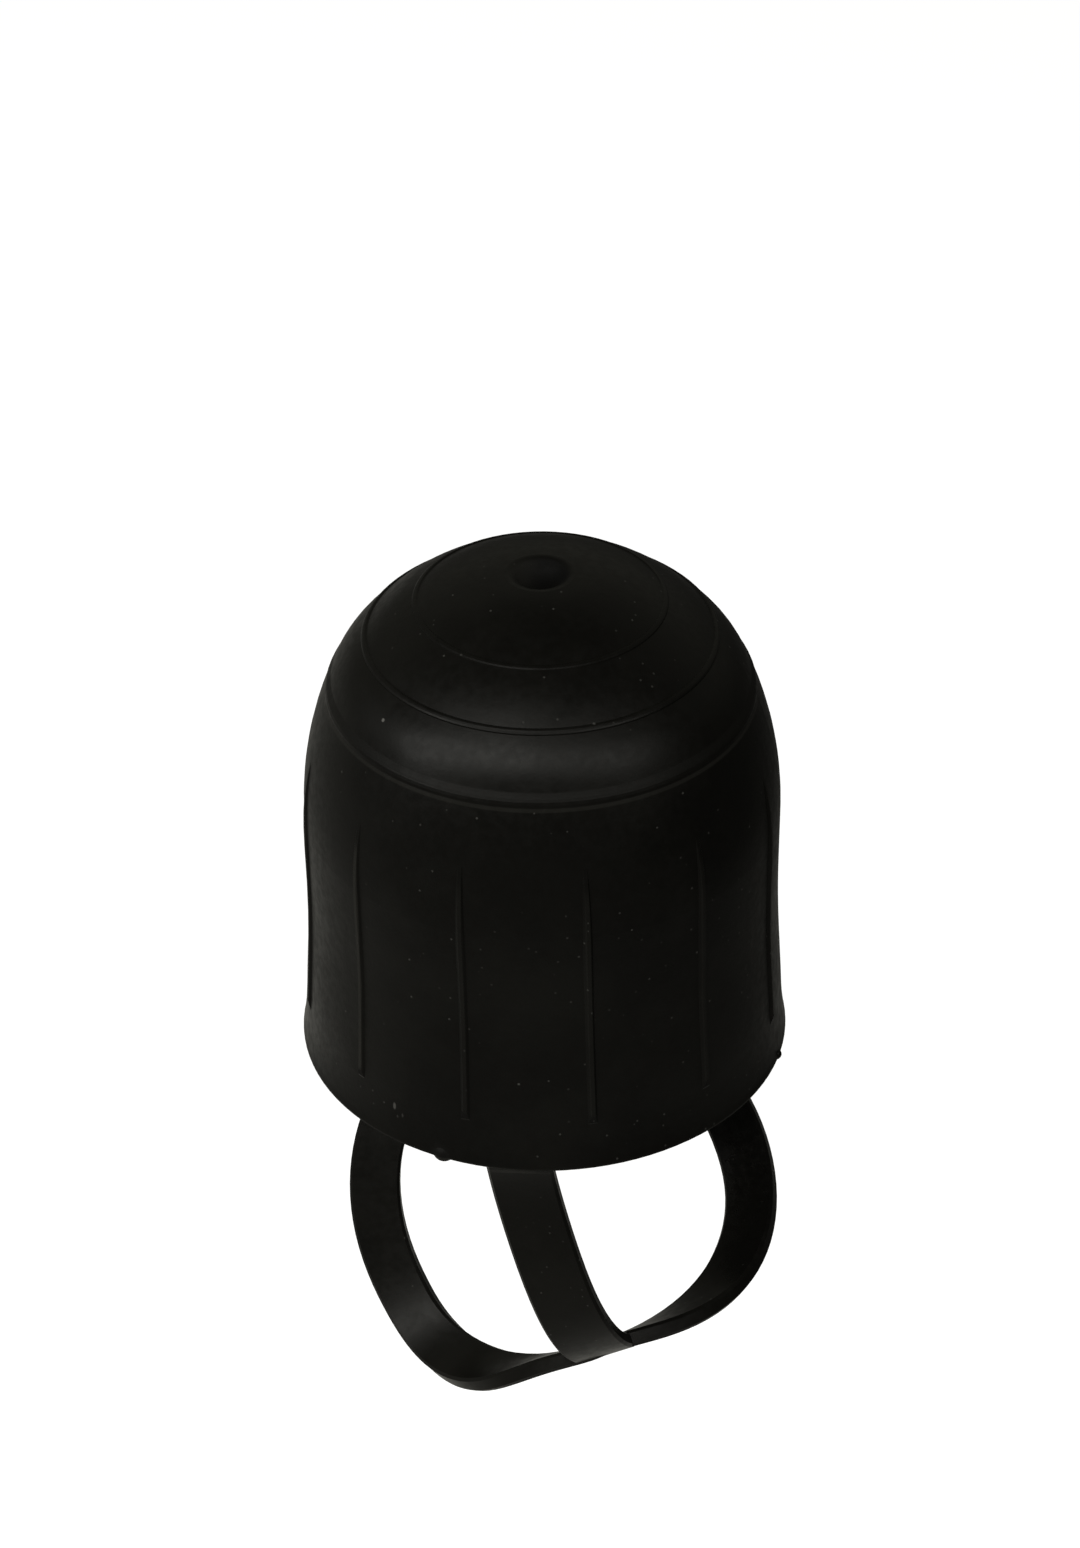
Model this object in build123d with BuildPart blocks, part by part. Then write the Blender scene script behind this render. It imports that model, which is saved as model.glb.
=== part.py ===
from build123d import *
import os
from math import cos, degrees, radians, sin, sqrt

# Driving dimensions, in millimetres and degrees

# The ball and the socket that takes it
ball_diameter = 58.74
bore_clearance = 0.33
equator_height = 40.8

# Wall over the socket, from the mouth up to the crown
rim_wall = 4.36
rim_height = 0.6
rim_bevel = 0.35
rim_flare = 13.0
flare_wall = 3.53
flare_height = 9.0
waist_wall = 2.85
waist_height = 22.8
shoulder_wall = 2.88
shoulder_height = 38.0
crown_wall = 4.0

# Three rolled beads round the dome, from the top one down, and the bulge of the band above each
bead_latitudes = (60.5, 45.7, 30.45)
bead_walls = (4.26, 4.12, 3.71)
bead_flats = 5
band_bulges = (0.3, 0.08, 0.21)

# Each bead's section by four control points: how far up the dome, and how proud of it
bead_shapes = (
    ((0.45, 0.0), (0.45, 0.29), (-0.45, 0.29), (-0.45, 0.0)),
    ((0.5, 0.0), (0.5, 0.36), (-0.5, 0.36), (-0.5, 0.0)),
    ((1.0, 0.0), (0.2, -0.05), (-0.45, 0.05), (-1.0, -0.26)),
)

# Dimple in the crown
dimple_radius = 3.6
dimple_depth = 2.4
dimple_lip_radius = 1.7

# Grip ribs around the skirt
rib_count = 12
rib_phase = 17.3
rib_lean = 0.9
rib_width = 1.3
rib_crest = 0.4
rib_height = 0.38
rib_sink = 0.15
rib_top = 48.5
rib_crest_shares = (0.0, 0.2, 0.4, 0.6, 0.78)
rib_foot_share = 0.82
rib_root = 1.2

# Two small nibs of moulding flash on the rim's edge: their size, place round the rim and set
nib_radii = (1.6, 0.8)
nib_azimuths = (-19.0, 80.0)
nib_drops = (1.0, 0.3)
nib_reaches = (0.25, 0.35)

# Tether: a strap from the rim that folds under the mouth and widens into a flat ring
strap_width = 9.0
strap_thickness = 2.1
strap_length = 39.8
strap_root_depth = 2.0
strap_root_inset = 1.2
strap_root_aside = -0.3
ring_radius = 31.7
ring_band = 7.5
ring_thickness = 2.4
tether_bevel = 0.4

# Where the tether's centreline bends, measured from its root in the rim
tether_bends = (
    (3.2, 0.2, -15.1),
    (8.2, -0.2, -29.5),
    (11.5, 8.5, -39.5),
    (9.3, 21.3, -39.4),
    (-1.0, 35.0, -28.1),
    (-11.8, 52.9, -10.8),
)

# How the tether rolls to its right as it runs down, folds and comes back up
root_roll = 8.2
fold_roll = 26.1
far_roll = 1.7
roll_in_length = 29.6
roll_out_start = 52.9
roll_out_length = 54.5
strap_stations = 12
ring_stations = 13

# Sizes that follow from these
bore_radius = ball_diameter / 2 + bore_clearance
rim_radius = bore_radius + rim_wall
flare_radius = bore_radius + flare_wall
waist_radius = bore_radius + waist_wall
shoulder_radius = bore_radius + shoulder_wall
crown_height = equator_height + bore_radius + crown_wall
dimple_floor = crown_height - dimple_depth


def dome_point(wall, latitude):
    reach = bore_radius + wall
    return (reach * cos(radians(latitude)), equator_height + reach * sin(radians(latitude)))


def midway(first, second):
    return (first + second) / 2


def smooth_step(share):
    share = min(max(share, 0.0), 1.0)
    return share * share * (3.0 - 2.0 * share)


# Where those control points fall on the cover's section
bead_sections = []
for latitude, wall, shape in zip(bead_latitudes, bead_walls, bead_shapes):
    degrees_up = degrees(1 / (bore_radius + wall))
    bead_sections.append([dome_point(wall + proud, latitude + degrees_up * up) for up, proud in shape])

# Shoulder arc: upright at the shoulder and through the foot of the lowest bead
last_foot_radius, last_foot_height = bead_sections[-1][-1]
shoulder_rise = last_foot_height - shoulder_height
shoulder_run = shoulder_radius - last_foot_radius
shoulder_arc_radius = (shoulder_rise**2 + shoulder_run**2) / (2 * shoulder_run)


def shoulder_point(height):
    above = height - shoulder_height
    inward = shoulder_arc_radius - sqrt(shoulder_arc_radius**2 - above**2)
    return (shoulder_radius - inward, height)


# Skirt line: upright below the shoulder, drawn in at the waist and flared at the mouth
with BuildLine() as skirt_line:
    skirt = Spline(
        (shoulder_radius, shoulder_height),
        (waist_radius, waist_height),
        (flare_radius, flare_height),
        (rim_radius, rim_height),
        tangents=((0, -1), (sin(radians(rim_flare)), -cos(radians(rim_flare)))),
    )


def skirt_point(share, proud):
    on_skirt = skirt @ share
    return (on_skirt.X + proud, on_skirt.Y)


# One grip rib, bevelled and a little proud of the skirt, dying out towards the beads
rib_start = shoulder_point(rib_top)
rib_end = skirt_point(rib_crest_shares[-1], rib_height)
rib_foot = skirt_point(rib_foot_share, 0)
rib_inner = min(waist_radius, rib_start[0]) - rib_root
rib_depth = rib_height + rib_sink
rib_slope = (rib_width - rib_crest) / 2 * rib_depth / rib_height
with BuildPart() as rib:
    with BuildSketch(Plane.XZ):
        with BuildLine():
            Spline(rib_start, *[skirt_point(share, rib_height) for share in rib_crest_shares])
            Polyline(rib_end, rib_foot, (rib_inner, rib_foot[1]), (rib_inner, rib_top), rib_start)
        make_face()
    extrude(amount=rib_crest / 2 + rib_slope, both=True)
    chamfer(rib.edges().filter_by(GeomType.BSPLINE), rib_depth, rib_slope)

# Tether sheet: its centreline, and the direction across it at each length along it
tether_root = Vector(strap_root_aside, strap_root_inset + strap_thickness / 2 - rim_radius, 0)
with BuildLine() as tether_line:
    Spline(tether_root, *[tether_root + Vector(*bend) for bend in tether_bends])
tether_path = tether_line.edges()[0]


def sheet_frame(along):
    on_path = min(max(along, 0.0), tether_path.length)
    forward = tether_path.tangent_at(on_path, position_mode=PositionMode.LENGTH)
    centre = tether_path.position_at(on_path, position_mode=PositionMode.LENGTH)
    roll_in = (fold_roll - root_roll) * smooth_step(along / roll_in_length)
    roll_out = (far_roll - fold_roll) * smooth_step((along - roll_out_start) / roll_out_length)
    roll = radians(root_roll + roll_in + roll_out)
    level = Vector(cos(roll), 0, sin(roll))
    across = (level - forward * level.dot(forward)).normalized()
    return centre + forward * (along - on_path), forward, across


def sheet_point(along, aside):
    centre, _, across = sheet_frame(along)
    return centre + across * aside


# The ring is a flat band on that sheet, with its section square to the band all the way round
ring_centre = strap_length + ring_radius
band_radius = ring_radius - ring_band / 2


def ring_plane(turn):
    back = cos(radians(turn))
    aside = sin(radians(turn))
    outer = sheet_point(ring_centre - ring_radius * back, ring_radius * aside)
    middle = sheet_point(ring_centre - band_radius * back, band_radius * aside)
    _, forward, across = sheet_frame(ring_centre - band_radius * back)
    outward = (outer - middle).normalized()
    along_band = outward.cross(across.cross(forward))
    return Plane(origin=middle, x_dir=outward, z_dir=along_band)


with BuildPart() as tether:
    for side in (1, -1):
        for station in range(ring_stations):
            with BuildSketch(ring_plane(side * 180.0 * station / (ring_stations - 1))):
                Rectangle(ring_band, ring_thickness)
                chamfer(vertices(), tether_bevel)
        loft()
    strap_run = strap_root_depth + strap_length + ring_band / 2
    for station in range(strap_stations):
        along = strap_run * station / (strap_stations - 1) - strap_root_depth
        centre, forward, across = sheet_frame(along)
        with BuildSketch(Plane(origin=centre, x_dir=across, z_dir=forward)):
            Rectangle(strap_width, strap_thickness)
            chamfer(vertices(), tether_bevel)
    loft()

# The cover: one turned shell, with its ribs, its nibs and its tether
with BuildPart() as ball_cover:
    with BuildSketch(Plane.XZ) as section:
        with BuildLine():
            TangentArc((0, dimple_floor), (dimple_radius, crown_height), tangent=(1, 0))
            band_top = (dimple_radius, crown_height)
            wall_above = crown_wall
            latitude_above = 90.0
            for bead in range(len(bead_sections)):
                band_middle = dome_point(
                    midway(wall_above, bead_walls[bead]) + band_bulges[bead],
                    midway(latitude_above, bead_latitudes[bead]),
                )
                ThreePointArc(band_top, band_middle, bead_sections[bead][0])
                bead_curve = Bezier(*bead_sections[bead], mode=Mode.PRIVATE)
                Polyline(*[bead_curve @ (flat / bead_flats) for flat in range(bead_flats + 1)])
                band_top = bead_sections[bead][-1]
                wall_above = bead_walls[bead]
                latitude_above = bead_latitudes[bead]
            ThreePointArc(
                band_top,
                shoulder_point(midway(last_foot_height, shoulder_height)),
                (shoulder_radius, shoulder_height),
            )
            add(skirt_line.line)
            Polyline((rim_radius, rim_height), (rim_radius, 0), (bore_radius, 0), (bore_radius, equator_height))
            CenterArc((0, equator_height), bore_radius, 0, 90)
            Line((0, equator_height + bore_radius), (0, dimple_floor))
        make_face()
        chamfer(section.vertices().sort_by_distance((rim_radius, 0))[0], rim_bevel)
        fillet(section.vertices().sort_by_distance((dimple_radius, crown_height))[0], dimple_lip_radius)
    revolve(axis=Axis.Z)
    with PolarLocations(0, rib_count, start_angle=rib_phase - 90):
        add(rib.part, rotation=(rib_lean, 0, 0))
    for radius, azimuth, drop, reach in zip(nib_radii, nib_azimuths, nib_drops, nib_reaches):
        out = rim_radius + reach - radius
        with Locations((out * sin(radians(azimuth)), -out * cos(radians(azimuth)), radius - drop)):
            Sphere(radius)
    add(tether.part)
ball_cover.part.label = "ball_cover"

os.makedirs("parts", exist_ok=True)
export_step(ball_cover.part, "parts/ball_cover.step")
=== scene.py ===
from math import cos, radians, sin

import bpy
from mathutils import Matrix, Quaternion, Vector


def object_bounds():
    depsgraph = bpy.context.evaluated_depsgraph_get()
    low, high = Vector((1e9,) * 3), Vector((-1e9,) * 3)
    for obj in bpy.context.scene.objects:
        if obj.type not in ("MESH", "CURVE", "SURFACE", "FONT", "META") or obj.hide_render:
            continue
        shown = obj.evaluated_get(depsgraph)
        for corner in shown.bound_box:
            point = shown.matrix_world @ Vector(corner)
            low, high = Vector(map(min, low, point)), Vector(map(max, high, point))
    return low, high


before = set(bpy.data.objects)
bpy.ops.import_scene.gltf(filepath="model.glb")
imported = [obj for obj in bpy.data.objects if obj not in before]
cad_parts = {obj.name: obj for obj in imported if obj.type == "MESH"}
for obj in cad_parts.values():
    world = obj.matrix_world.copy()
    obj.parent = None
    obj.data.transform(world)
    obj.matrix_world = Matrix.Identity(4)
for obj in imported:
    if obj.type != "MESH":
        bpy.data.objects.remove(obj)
cadLow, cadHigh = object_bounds()
print("frame loaded")

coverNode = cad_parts["ball_cover"]


# small helpers for node trees


def addNode(tree, kind, **settings):
    node = tree.nodes.new(kind)
    for name, value in settings.items():
        setattr(node, name, value)
    return node


def feed(tree, source, target):
    # a socket is linked, anything else is the value itself
    if isinstance(source, bpy.types.NodeSocket):
        tree.links.new(source, target)
    else:
        target.default_value = source


def mathNode(tree, operation, first, second=None, clamp=False):
    node = addNode(tree, "ShaderNodeMath", operation=operation, use_clamp=clamp)
    feed(tree, first, node.inputs[0])
    if second is not None:
        feed(tree, second, node.inputs[1])
    return node.outputs[0]


def times(tree, first, second):
    return mathNode(tree, "MULTIPLY", first, second)


def ramp(tree, value, low, high, lowOut=0.0, highOut=1.0):
    node = addNode(tree, "ShaderNodeMapRange", interpolation_type="SMOOTHSTEP")
    feed(tree, value, node.inputs["Value"])
    ends = {"From Min": low, "From Max": high, "To Min": lowOut, "To Max": highOut}
    for name, number in ends.items():
        node.inputs[name].default_value = number
    return node.outputs["Result"]


def fade(tree, value, limits, strength=1.0):
    # full up to the first limit, gone from the second
    return ramp(tree, value, *limits, strength, 0.0)


def inBand(tree, value, limits, soft):
    low, high = limits
    rise = ramp(tree, value, low - soft, low + soft)
    return times(tree, rise, fade(tree, value, (high - soft, high + soft)))


def mixColour(tree, share, first, second):
    # a mix node's colours go in at 6 and 7 and come out at 2
    node = addNode(tree, "ShaderNodeMix", data_type="RGBA")
    feed(tree, share, node.inputs[0])
    feed(tree, first, node.inputs[6])
    feed(tree, second, node.inputs[7])
    return node.outputs[2]


def noise(tree, place, scale, detail=2.0, roughness=0.5):
    node = addNode(tree, "ShaderNodeTexNoise")
    feed(tree, place, node.inputs["Vector"])
    node.inputs["Scale"].default_value = scale
    node.inputs["Detail"].default_value = detail
    node.inputs["Roughness"].default_value = roughness
    return node.outputs["Fac"]


def splitPlace(tree, place):
    split = addNode(tree, "ShaderNodeSeparateXYZ")
    feed(tree, place, split.inputs[0])
    return split.outputs


def mixShader(tree, share, first, second):
    node = addNode(tree, "ShaderNodeMixShader")
    for source, target in zip((share, first, second), node.inputs):
        feed(tree, source, target)
    return node.outputs[0]


def seenByCamera(tree, path):
    # straight, or through something clear
    return mathNode(tree, "MAXIMUM", path.outputs["Is Camera Ray"], path.outputs["Is Transmission Ray"])


# black rubber, in metres: x to the right, y to the back, z up from the mouth, out from the axis
# two numbers are the limits that a mask fades between, or its values there
# a noise is given by its scale, detail and roughness


# film of dust on the tether, in patches; it is left off the right, so that the shaded right arm stays dark
# as painted shade
filmAndShadeSettings = {
    "colour": (0.0048, 0.0046, 0.0039, 1.0),
    "height": (-0.012, -0.001),
    # the film fades out towards the right, leaving the right arm dark: painted shade
    "side": (0.01, 0.026),
    "patchNoise": (140.0, 3.0),
    "patchLimits": (0.3, 0.7),
    "patchShares": (0.35, 0.75),
}


def tetherFilmAndShade(tree, place, x, z):
    s = filmAndShadeSettings
    tether = times(tree, fade(tree, z, s["height"]), fade(tree, x, s["side"]))
    patches = ramp(tree, noise(tree, place, *s["patchNoise"]), *s["patchLimits"], *s["patchShares"])
    return times(tree, tether, patches)


# painted highlight lines: along the edge of the rim, the strap's root below it, and the foot of the lowest
# bead
paintedLineSettings = {
    "colour": (0.010, 0.0097, 0.0085, 1.0),
    "soft": 0.0001,
    "rimHeight": (0.0, 0.00042),
    "rimOut": (0.0325, 0.0330),
    "rootHeight": (-0.0015, -0.0009),
    "rootDepth": (-0.030, -0.0295),
    "breakNoise": (160.0, 3.0),  # breaks up the rim's line and the root's
    "breakLimits": (0.3, 0.6),
    "breakShares": (0.2, 1.0),
    "footHeight": (0.0562, 0.0567),
    "footOut": (0.027, 0.0275),
    "footStrength": 0.5,
}


def paintedHighlightLines(tree, place, y, z, out):
    s = paintedLineSettings
    broken = ramp(tree, noise(tree, place, *s["breakNoise"]), *s["breakLimits"], *s["breakShares"])
    rim = times(tree, inBand(tree, z, s["rimHeight"], s["soft"]), ramp(tree, out, *s["rimOut"]))
    root = times(tree, inBand(tree, z, s["rootHeight"], s["soft"]), fade(tree, y, s["rootDepth"]))
    foot = times(tree, inBand(tree, z, s["footHeight"], s["soft"]), ramp(tree, out, *s["footOut"]))
    lines = times(tree, mathNode(tree, "MAXIMUM", rim, root), broken)
    return mathNode(tree, "MAXIMUM", lines, times(tree, foot, s["footStrength"]), clamp=True)


# the skirt's line: straight flare below the waist, upright up to the shoulder, drawn in above it
skirtSettings = {
    "waistRadius": 0.03256,
    "waistHeight": 0.0228,
    "flareSlope": 0.0493,
    "shoulderHeight": 0.038,
    "shoulderCurve": 9.77,
}


def proudOfSkirt(tree, z, out):
    s = skirtSettings
    below = mathNode(tree, "MAXIMUM", mathNode(tree, "SUBTRACT", s["waistHeight"], z), 0.0)
    above = mathNode(tree, "MAXIMUM", mathNode(tree, "SUBTRACT", z, s["shoulderHeight"]), 0.0)
    flare = times(tree, below, s["flareSlope"])
    drawnIn = times(tree, times(tree, above, above), s["shoulderCurve"])
    skirt = mathNode(tree, "SUBTRACT", mathNode(tree, "ADD", flare, s["waistRadius"]), drawnIn)
    return mathNode(tree, "SUBTRACT", out, skirt)


# painted highlight along the crests of the ribs, in the colour of the lines, stronger on the left ribs,
# which face the key lamp
crestHighlightSettings = {
    "height": (0.0088, 0.046),
    "soft": 0.0008,
    "proud": (0.00018, 0.0003),
    "side": (-0.022, -0.014),
    "highlightShares": (0.8, 0.2),  # on the left ribs and on the others
}


def ribCrestHighlights(tree, x, z, proud):
    s = crestHighlightSettings
    crest = times(tree, inBand(tree, z, s["height"], s["soft"]), ramp(tree, proud, *s["proud"]))
    return times(tree, crest, ramp(tree, x, *s["side"], *s["highlightShares"]))


# the dimple has painted light on its left, in the colour of the lines, and painted shade on its right
dimpleSettings = {
    "shadeColour": (0.0004, 0.0004, 0.0003, 1.0),
    "out": (0.0032, 0.0046),
    "height": (0.0705, 0.0712),
    "litSide": (-0.004, -0.0005),
    "litStrength": 0.7,
    "shadeSide": (-0.002, 0.001),
}


def dimpleMasks(tree, x, z, out):
    s = dimpleSettings
    dimple = times(tree, fade(tree, out, s["out"]), ramp(tree, z, *s["height"]))
    paintedLight = times(tree, dimple, fade(tree, x, s["litSide"], s["litStrength"]))
    paintedShade = times(tree, dimple, ramp(tree, x, *s["shadeSide"]))
    return dimple, paintedLight, paintedShade


# single grains and scuffs: place, half sizes and strength
markSettings = {
    "edge": (0.4, 1.1),  # where a mark fades, in shares of its half sizes
    "marks": {
        "grain on the third tier": ((-0.0189, -0.0182, 0.0621), (0.00028, 0.00028, 0.00028), 1.8),
        "grain below the third bead": ((0.0207, -0.0213, 0.0550), (0.0002, 0.0002, 0.0002), 0.35),
        "grain in the second bead": ((0.0091, -0.0215, 0.0654), (0.00025, 0.00025, 0.00025), 0.5),
        "grain on the skirt": ((-0.0001, -0.0329, 0.0143), (0.00022, 0.00022, 0.00022), 0.5),
        "long scuff on the rim": ((-0.0177, -0.0284, 0.0057), (0.0003, 0.0003, 0.0007), 0.6),
        "short scuff on the rim": ((-0.0165, -0.0291, 0.0047), (0.0002, 0.0002, 0.0004), 0.25),
        "low scuff on the rim": ((-0.0173, -0.0288, 0.0042), (0.0002, 0.0002, 0.0003), 0.25),
    },
}


def singleMark(tree, place, centre, halfSizes, strength):
    away = addNode(tree, "ShaderNodeVectorMath", operation="SUBTRACT")
    feed(tree, place, away.inputs[0])
    away.inputs[1].default_value = centre
    scaled = addNode(tree, "ShaderNodeVectorMath", operation="DIVIDE")
    feed(tree, away.outputs[0], scaled.inputs[0])
    scaled.inputs[1].default_value = halfSizes
    length = addNode(tree, "ShaderNodeVectorMath", operation="LENGTH")
    feed(tree, scaled.outputs[0], length.inputs[0])
    return fade(tree, length.outputs["Value"], markSettings["edge"], strength)


# dust: grains all over, more of them low on the strap, and the single marks
# grains are given by how close they lie, how many of the places hold one, their radius and strength
dustSettings = {
    "colour": (0.065, 0.064, 0.060, 1.0),
    "allOver": {"scale": 520.0, "share": 0.95, "radius": 0.0002, "strength": 0.36},
    "onStrap": {"scale": 900.0, "share": 0.6, "radius": 0.00018, "strength": 0.42},
    "grainCore": 0.5,  # share of the radius that has a grain's full strength
    "grainStrengths": (0.3, 1.0),  # from the faintest grain to the strongest
    "domeHeight": (0.045, 0.056),  # fewer up the dome, and many again at its top
    "domeShares": (1.0, 0.3),
    "topHeight": (0.064, 0.067),
    "topShares": (0.0, 0.9),
    "side": (-0.02, 0.015),
    "sideShares": (0.35, 1.0),
    "strapHeight": (-0.036, -0.012),
    "strapSoft": 0.006,
    "strapDepth": (-0.030, -0.027),
}


def dustGrains(tree, place, grains, density=1.0):
    s = dustSettings
    cells = addNode(tree, "ShaderNodeTexVoronoi", feature="F1")
    feed(tree, place, cells.inputs["Vector"])
    cells.inputs["Scale"].default_value = grains["scale"]
    chance = addNode(tree, "ShaderNodeSeparateColor")
    feed(tree, cells.outputs["Color"], chance.inputs[0])
    there = mathNode(tree, "LESS_THAN", chance.outputs[0], times(tree, density, grains["share"]))
    reach = grains["radius"] * grains["scale"]
    disc = fade(tree, cells.outputs["Distance"], (reach * s["grainCore"], reach), grains["strength"])
    disc = times(tree, disc, ramp(tree, chance.outputs[1], 0.0, 1.0, *s["grainStrengths"]))
    return times(tree, there, disc)


def dustMask(tree, place, x, y, z):
    s = dustSettings
    upDome = ramp(tree, z, *s["domeHeight"], *s["domeShares"])
    atTop = ramp(tree, z, *s["topHeight"], *s["topShares"])
    across = ramp(tree, x, *s["side"], *s["sideShares"])
    density = times(tree, across, mathNode(tree, "MAXIMUM", upDome, atTop))
    dust = dustGrains(tree, place, s["allOver"], density)
    lowStrap = times(tree, inBand(tree, z, s["strapHeight"], s["strapSoft"]), fade(tree, y, s["strapDepth"]))
    dust = mathNode(tree, "ADD", dust, times(tree, dustGrains(tree, place, s["onStrap"]), lowStrap))
    for mark in markSettings["marks"].values():
        dust = mathNode(tree, "ADD", dust, singleMark(tree, place, *mark))
    return mathNode(tree, "MINIMUM", dust, 1.0)


# mottled sheen: matt in the dimple, on the front nib, on the lowest bead and at the ribs' feet,
# and sleeker on the right of the ring
sheenSettings = {
    "roughness": 0.37,
    "bloomSpread": 0.025,
    "mottleNoise": (800.0, 4.0, 0.6),
    "mottleLimits": (0.3, 0.7),
    "mottleSpread": 0.05,
    "dimpleChange": 0.4,  # a change is added to the roughness
    "nibMark": ((-0.01065, -0.03093, 0.0006), (0.0022, 0.0022, 0.0022), 0.45),
    "soft": 0.0001,
    "beadHeight": (0.0576, 0.0587),
    "beadChange": 0.13,
    "ribFootHeight": (0.0071, 0.0088),
    "ribFootProud": (0.00003, 0.00007),
    "ribFootChange": 0.5,
    "sleekHeight": (-0.012, -0.006),
    "sleekSide": (0.024, 0.029),
    "sleekChange": -0.12,
}


def mottledSheen(tree, place, x, z, bloom, dimple, proud):
    s = sheenSettings
    rough = ramp(tree, bloom, 0.0, 1.0, s["roughness"] - s["bloomSpread"], s["roughness"] + s["bloomSpread"])
    spread = (-s["mottleSpread"], s["mottleSpread"])
    mottle = ramp(tree, noise(tree, place, *s["mottleNoise"]), *s["mottleLimits"], *spread)
    matt = times(tree, dimple, s["dimpleChange"])
    nib = singleMark(tree, place, *s["nibMark"])
    bead = times(tree, inBand(tree, z, s["beadHeight"], s["soft"]), s["beadChange"])
    ribFoot = ramp(tree, proud, *s["ribFootProud"], 0.0, s["ribFootChange"])
    ribFoot = times(tree, inBand(tree, z, s["ribFootHeight"], s["soft"]), ribFoot)
    sleek = ramp(tree, x, *s["sleekSide"], 0.0, s["sleekChange"])
    sleek = times(tree, fade(tree, z, s["sleekHeight"]), sleek)
    for change in (mottle, matt, nib, bead, ribFoot, sleek):
        rough = mathNode(tree, "ADD", rough, change, clamp=True)
    return rough


# fine relief: a ripple with a grain over it
reliefSettings = {
    "ripple": {"noise": (420.0, 2.0), "height": 0.00002},
    "grain": {"noise": (2600.0, 2.0), "height": 0.00001},
}


def fineRelief(tree, place):
    normal = None
    for s in reliefSettings.values():
        bump = addNode(tree, "ShaderNodeBump")
        feed(tree, noise(tree, place, *s["noise"]), bump.inputs["Height"])
        bump.inputs["Distance"].default_value = s["height"]
        if normal is not None:
            feed(tree, normal, bump.inputs["Normal"])
        normal = bump.outputs["Normal"]
    return normal


# the rubber itself, with a grey bloom that lies unevenly over the moulding
rubberSettings = {
    "colour": (0.0020, 0.0019, 0.0016, 1.0),
    "bloomColour": (0.0031, 0.0030, 0.0025, 1.0),
    "bloomNoise": (55.0, 4.0, 0.6),
    "bloomLimits": (0.35, 0.7),
    "specular": 0.075,
}


def makeRubber():
    s = rubberSettings
    material = bpy.data.materials.new("blackRubber")
    material.use_nodes = True
    tree = material.node_tree
    shader = tree.nodes["Principled BSDF"]
    place = addNode(tree, "ShaderNodeTexCoord").outputs["Object"]
    x, y, z = splitPlace(tree, place)
    out = mathNode(tree, "SQRT", mathNode(tree, "ADD", times(tree, x, x), times(tree, y, y)))
    proud = proudOfSkirt(tree, z, out)
    bloom = ramp(tree, noise(tree, place, *s["bloomNoise"]), *s["bloomLimits"])
    dimple, dimplePaintedLight, dimplePaintedShade = dimpleMasks(tree, x, z, out)

    # each layer lies over those before it
    layers = (
        (bloom, s["bloomColour"]),
        # the tether's dust film, with painted shade on its right
        (tetherFilmAndShade(tree, place, x, z), filmAndShadeSettings["colour"]),
        # painted highlights on the rim's edge, the strap's root and the lowest bead's foot
        (paintedHighlightLines(tree, place, y, z, out), paintedLineSettings["colour"]),
        # painted highlight on the rib crests
        (ribCrestHighlights(tree, x, z, proud), paintedLineSettings["colour"]),
        # painted light on the dimple's left and painted shade on its right
        (dimplePaintedLight, paintedLineSettings["colour"]),
        (dimplePaintedShade, dimpleSettings["shadeColour"]),
        (dustMask(tree, place, x, y, z), dustSettings["colour"]),
    )
    colour = s["colour"]
    for mask, layerColour in layers:
        colour = mixColour(tree, mask, colour, layerColour)
    feed(tree, colour, shader.inputs["Base Color"])
    feed(tree, mottledSheen(tree, place, x, z, bloom, dimple, proud), shader.inputs["Roughness"])
    shader.inputs["Specular IOR Level"].default_value = s["specular"]
    feed(tree, fineRelief(tree, place), shader.inputs["Normal"])
    return material


rubber = makeRubber()
for index in range(len(coverNode.data.materials)):
    coverNode.data.materials[index] = rubber
print("rubber made")


# floor and surroundings

floorSettings = {
    "width": 8.0,
    "drop": 0.09,  # below the ring, because the cover hangs in the air
    "colour": (0.3, 0.3, 0.3, 1.0),
    "cameraGlow": 0.88,
    "nearGlow": 0.72,  # what the rubber mirrors of the floor, close below it and further out
    "farGlow": 0.32,
    "glowReach": (0.08, 0.31),
    "glowAcross": (-0.1, 0.4),  # from the bright left to the dim right
    "glowLean": 0.5,  # it dims towards the back too, by this share
    "rightShare": 0.16,
    "glowColour": (1.0, 0.98, 0.88, 1.0),
}


def mirroredGlow(tree):
    # the part of the floor that the rubber mirrors is bright close by and on the left
    s = floorSettings
    place = addNode(tree, "ShaderNodeTexCoord").outputs["Object"]
    out = addNode(tree, "ShaderNodeVectorMath", operation="LENGTH")
    feed(tree, place, out.inputs[0])
    x, y, _ = splitPlace(tree, place)
    across = mathNode(tree, "ADD", x, times(tree, y, s["glowLean"]))
    near = ramp(tree, out.outputs["Value"], *s["glowReach"], s["nearGlow"], s["farGlow"])
    strength = times(tree, near, ramp(tree, across, *s["glowAcross"], 1.0, s["rightShare"]))
    glow = addNode(tree, "ShaderNodeEmission")
    glow.inputs["Color"].default_value = s["glowColour"]
    feed(tree, strength, glow.inputs["Strength"])
    return glow.outputs[0]


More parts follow.
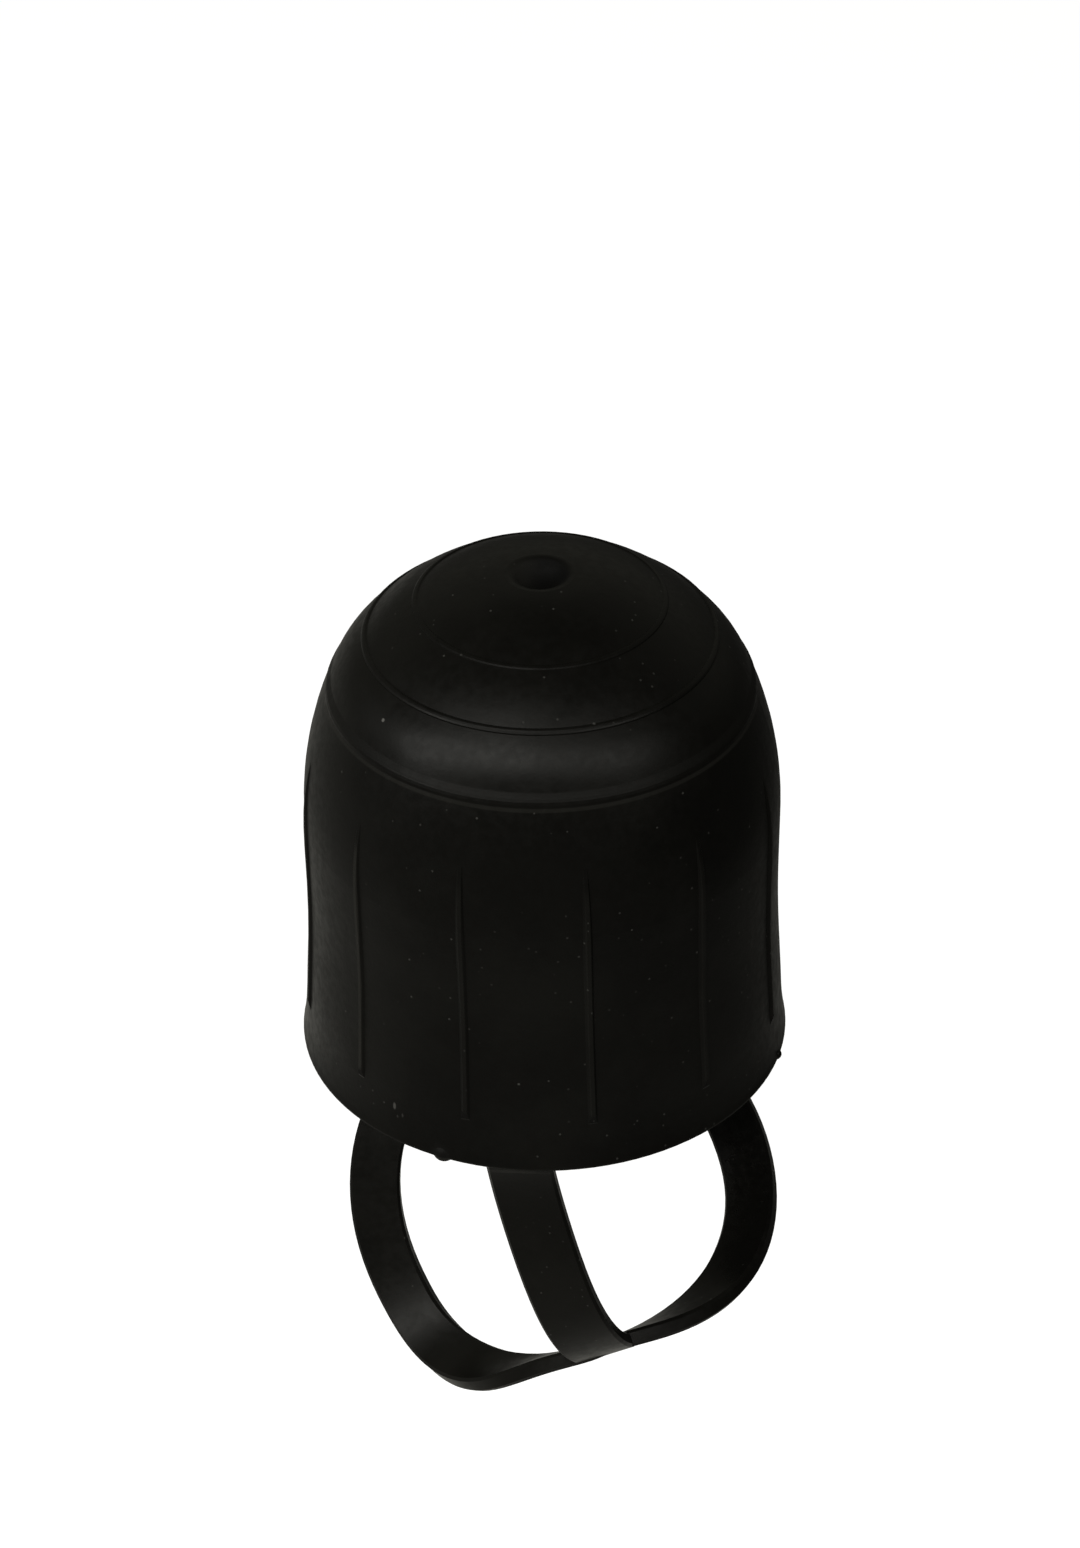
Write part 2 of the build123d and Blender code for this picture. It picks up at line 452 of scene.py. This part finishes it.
def makeFloor():
    s = floorSettings
    bpy.ops.mesh.primitive_plane_add(size=s["width"], location=(0, 0, cadLow.z - s["drop"]))
    floor = bpy.context.object
    floor.name = "floor"
    material = bpy.data.materials.new("paleFloor")
    material.use_nodes = True
    tree = material.node_tree
    tree.nodes.clear()
    path = addNode(tree, "ShaderNodeLightPath")
    plain = addNode(tree, "ShaderNodeBsdfDiffuse")
    plain.inputs["Color"].default_value = s["colour"]
    glow = addNode(tree, "ShaderNodeEmission")
    feed(tree, times(tree, seenByCamera(tree, path), s["cameraGlow"]), glow.inputs["Strength"])
    lit = addNode(tree, "ShaderNodeAddShader")
    feed(tree, plain.outputs[0], lit.inputs[0])
    feed(tree, glow.outputs[0], lit.inputs[1])
    top = mixShader(tree, path.outputs["Is Glossy Ray"], lit.outputs[0], mirroredGlow(tree))

    # clear from below, so that a low view looks through it
    clear = addNode(tree, "ShaderNodeBsdfTransparent").outputs[0]
    underside = addNode(tree, "ShaderNodeNewGeometry").outputs["Backfacing"]
    output = addNode(tree, "ShaderNodeOutputMaterial")
    feed(tree, mixShader(tree, underside, top, clear), output.inputs["Surface"])
    floor.data.materials.append(material)


makeFloor()

worldSettings = {
    "fill": (0.045, 0.045, 0.042, 1.0),
    "behind": (0.34, 0.335, 0.28, 1.0),
    "backdrop": (1.0, 1.0, 1.0, 1.0),
    "wallDepth": (0.0, 0.45),  # where the wall fades, as parts of a direction of length 1
    "wallFoot": (-0.15, 0.45),
    "wallTop": (0.7, 0.9),
}


def makeWorld():
    s = worldSettings
    world = bpy.data.worlds.new("studio")
    bpy.context.scene.world = world
    world.use_nodes = True
    tree = world.node_tree
    background = tree.nodes["Background"]

    # soft light from the pale wall behind the cover, which leaves the ceiling dark
    _, y, z = splitPlace(tree, addNode(tree, "ShaderNodeTexCoord").outputs["Generated"])
    wall = times(tree, ramp(tree, y, *s["wallDepth"]), ramp(tree, z, *s["wallFoot"]))
    wall = times(tree, wall, fade(tree, z, s["wallTop"]))
    light = mixColour(tree, wall, s["fill"], s["behind"])
    path = addNode(tree, "ShaderNodeLightPath")
    shown = mixColour(tree, seenByCamera(tree, path), light, s["backdrop"])
    feed(tree, shown, background.inputs["Color"])
    bpy.context.scene.view_settings.view_transform = "Standard"


makeWorld()
print("floor and world made")


# lamps, each placed by azimuth and elevation round the cover and rolled about its own aim

lampSettings = {
    "aim": (0.0, 0.0, 0.04),
    "distance": 0.85,
    "colour": (1.0, 0.99, 0.93),
    "lamps": {
        "key": {"azimuth": -43.0, "elevation": 33.5, "size": (1.0, 0.37), "roll": 32.0, "power": 8.6},
        "second": {"azimuth": 27.0, "elevation": 38.0, "size": (1.2, 0.28), "roll": -16.0, "power": 6.1},
        "left": {"azimuth": -88.0, "elevation": 14.0, "size": (0.4, 0.3), "roll": 0.0, "power": 0.36},
    },
}


def aroundCover(azimuth, elevation):
    a = radians(azimuth)
    e = radians(elevation)
    return Vector((sin(a) * cos(e), -cos(a) * cos(e), sin(e)))


def makeLamp(name, place):
    s = lampSettings
    data = bpy.data.lights.new(name, "AREA")
    data.shape = "RECTANGLE"
    data.size, data.size_y = place["size"]
    data.energy = place["power"]
    data.color = s["colour"]
    lamp = bpy.data.objects.new(name, data)
    bpy.context.scene.collection.objects.link(lamp)
    outward = aroundCover(place["azimuth"], place["elevation"])
    lamp.location = Vector(s["aim"]) + outward * s["distance"]
    turn = (-outward).to_track_quat("-Z", "Y") @ Quaternion((0, 0, 1), radians(place["roll"]))
    lamp.rotation_euler = turn.to_euler()


for lampName, lampPlace in lampSettings["lamps"].items():
    makeLamp(lampName, lampPlace)
print("lamps made")


# camera

cameraSettings = {
    "target": (0.0, 0.0, 0.0421),
    "azimuth": 6.0,
    "elevation": 34.7,
    "distance": 0.618,
    "roll": -0.6,
    "focalPixels": 4534.0,
    "frameHeight": 1548.0,
    "centreOffset": 2.0,  # pixels to the right of the picture's middle
    "sensor": 36.0,
    "clip": (0.01, 50.0),
}


def makeCamera():
    s = cameraSettings
    data = bpy.data.cameras.new("camera")
    data.sensor_width = s["sensor"]
    data.lens = s["focalPixels"] * s["sensor"] / s["frameHeight"]
    data.shift_x = -s["centreOffset"] / s["frameHeight"]
    data.clip_start, data.clip_end = s["clip"]
    camera = bpy.data.objects.new("camera", data)
    bpy.context.scene.collection.objects.link(camera)
    a = radians(s["azimuth"])
    roll = radians(s["roll"])
    back = aroundCover(s["azimuth"], s["elevation"])
    right = Vector((cos(a), sin(a), 0))
    up = back.cross(right)
    rolledRight = right * cos(roll) + up * sin(roll)
    rolledUp = up * cos(roll) - right * sin(roll)
    turn = Matrix((rolledRight, rolledUp, back)).transposed().to_4x4()
    camera.matrix_world = Matrix.Translation(Vector(s["target"]) + back * s["distance"]) @ turn
    bpy.context.scene.camera = camera


makeCamera()
print("camera made")
